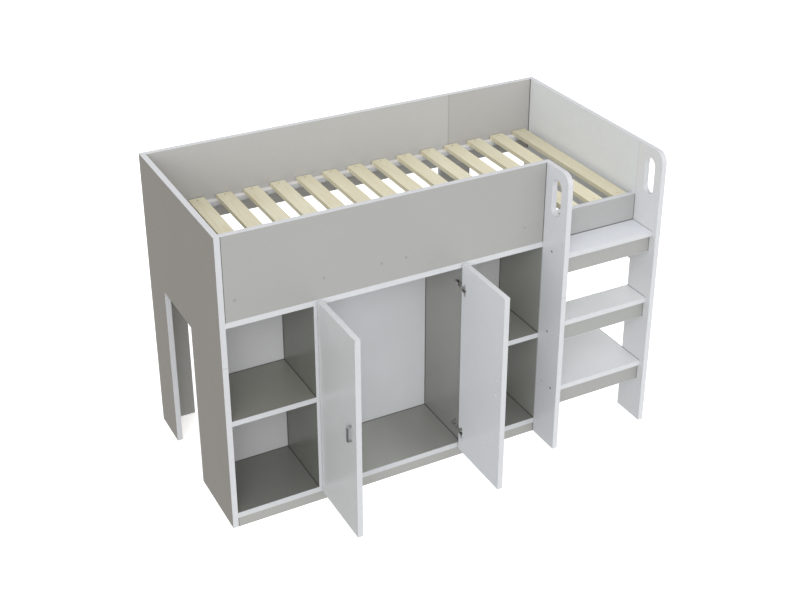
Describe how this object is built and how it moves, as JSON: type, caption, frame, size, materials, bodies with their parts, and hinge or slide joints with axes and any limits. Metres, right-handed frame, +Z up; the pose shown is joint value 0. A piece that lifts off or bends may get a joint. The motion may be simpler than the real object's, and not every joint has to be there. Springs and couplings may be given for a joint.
{
  "type": "cabin bed",
  "caption": "Mid-height cabin bed with slatted deck, guard boards, fixed step ladder with hand slots, and a low cabinet of open cubbies beside a cupboard with two hinged doors.",
  "frame": {"origin": "on the floor, under the centre of the whole box with both doors open at 90 degrees", "axes": "+X along the bed from the cubby end to the ladder end, +Y from the doors to the rear guard, +Z up"},
  "size_m": [1.804, 1.1196, 1.235],
  "materials": {
    "grey_board": "light grey melamine faces with white edge bands",
    "white_board": "white melamine, fine satin",
    "white_hardboard": "thin hardboard, white lacquered front",
    "slat_wood": "planed untreated pine",
    "dowel_wood": "fluted beech",
    "zinc_fittings": "zinc plated",
    "yellow_zinc": "yellow zinc plated",
    "nickel_hinge": "nickel plated pressed steel",
    "handle_steel": "brushed nickel",
    "grey_caps": "moulded plastic"
  },
  "bodies": {
    "frame": {"left_end_panel": "grey_board", "right_end_panel": "white_board", "ladder_upright_left": "white_board", "ladder_upright_right": "white_board", "cabinet_right_side": "grey_board", "cabinet_top": "grey_board", "cabinet_bottom": "grey_board", "divider_left": "grey_board", "divider_right": "grey_board", "shelf_left": "grey_board", "shelf_right": "grey_board", "plinth": "grey_board", "back_panel": "white_hardboard", "front_guard": "grey_board", "entry_rail": "grey_board", "rear_guard_left": "grey_board", "rear_guard_right": "grey_board", "rear_leg_left": "grey_board", "rear_leg_centre": "grey_board", "slat_rail_front": "white_board", "slat_rail_rear": "white_board", "slat_01": "slat_wood", "slat_02": "slat_wood", "slat_03": "slat_wood", "slat_04": "slat_wood", "slat_05": "slat_wood", "slat_06": "slat_wood", "slat_07": "slat_wood", "slat_08": "slat_wood", "slat_09": "slat_wood", "slat_10": "slat_wood", "slat_11": "slat_wood", "slat_12": "slat_wood", "slat_13": "slat_wood", "slat_14": "slat_wood", "slat_15": "slat_wood", "tread_upper": "white_board", "tread_middle": "white_board", "tread_lower": "white_board", "riser_upper": "grey_board", "riser_middle": "grey_board", "riser_lower": "grey_board", "dowels": "dowel_wood", "cam_fittings": "zinc_fittings", "panel_screws": "zinc_fittings", "deck_screws": "yellow_zinc", "cover_caps": "grey_caps", "back_nails": "zinc_fittings", "hinge_plates": "nickel_hinge", "hinge_arms": "nickel_hinge", "hinge_plate_screws": "zinc_fittings"},
    "door_left": {"door_left": "white_board", "hinge_cups_left": "nickel_hinge", "handle_left": "handle_steel", "door_left_hardware": "zinc_fittings"},
    "door_right": {"door_right": "white_board", "hinge_cups_right": "nickel_hinge", "handle_right": "handle_steel", "door_right_hardware": "zinc_fittings"}
  },
  "joints": [
    {"name": "door_left_hinge", "type": "hinge", "parent": "frame", "child": "door_left", "pos_m": [-0.516, -0.26125, 0.465], "axis": [0, 0, 1], "range_deg": [-20, 90]},
    {"name": "door_right_hinge", "type": "hinge", "parent": "frame", "child": "door_right", "pos_m": [0.085, -0.26125, 0.465], "axis": [0, 0, -1], "range_deg": [-20, 90]}
  ]
}
